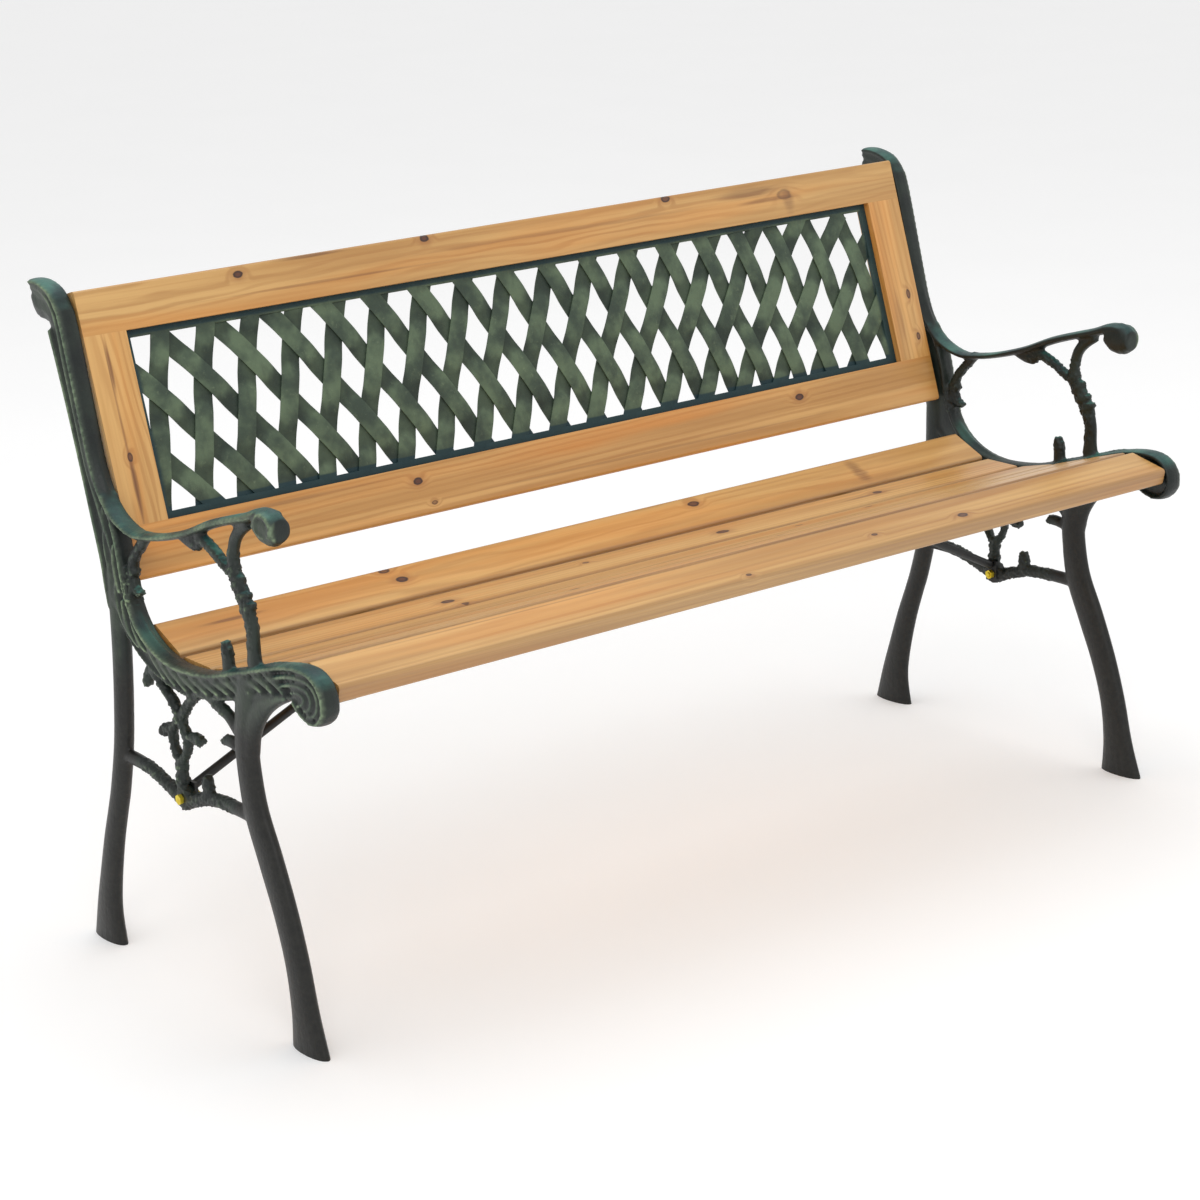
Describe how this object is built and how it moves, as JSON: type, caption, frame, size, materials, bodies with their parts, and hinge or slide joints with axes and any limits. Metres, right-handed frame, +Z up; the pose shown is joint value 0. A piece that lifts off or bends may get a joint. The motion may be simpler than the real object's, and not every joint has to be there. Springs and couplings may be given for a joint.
{
  "type": "garden bench",
  "caption": "Garden bench with two cast-iron twig-pattern side frames, a dished seat of pine slats and a raked pine back framing a cast diamond lattice.",
  "frame": {"origin": "middle of the bench's footprint, on the ground", "axes": "+X along the seat to a viewer's right, -Y towards the front edge of the seat, +Z up"},
  "size_m": [1.22, 0.5367, 0.7389],
  "materials": {
    "cast_iron": "satin black-green paint with worn verdigris highlights",
    "lattice_iron": "matt grey-green antique paint",
    "pine": "satin varnished honey pine",
    "dowel_beech": "plain",
    "yellow_zinc": "yellow zinc plate",
    "black_steel": "black paint",
    "plain_steel": "zinc plated"
  },
  "bodies": {
    "root": {"back_bottom_rail": "pine", "back_dowels": "dowel_beech", "back_lattice": "lattice_iron", "back_left_stile": "pine", "back_right_stile": "pine", "back_screws": "plain_steel", "back_top_rail": "pine", "back_washers": "plain_steel", "batten_screws": "plain_steel", "left_seat_batten": "black_steel", "left_side_frame": "cast_iron", "left_tie_rod": "black_steel", "right_seat_batten": "black_steel", "right_side_frame": "cast_iron", "right_tie_rod": "black_steel", "rod_screws": "plain_steel", "seat_screws": "plain_steel", "seat_slat_1": "pine", "seat_slat_2": "pine", "seat_slat_3": "pine", "seat_slat_4": "pine", "seat_slat_5": "pine", "seat_slat_6": "pine", "seat_washers": "plain_steel", "tie_rod_bolts": "yellow_zinc", "tie_rod_nuts": "yellow_zinc"}
  },
  "joints": []
}
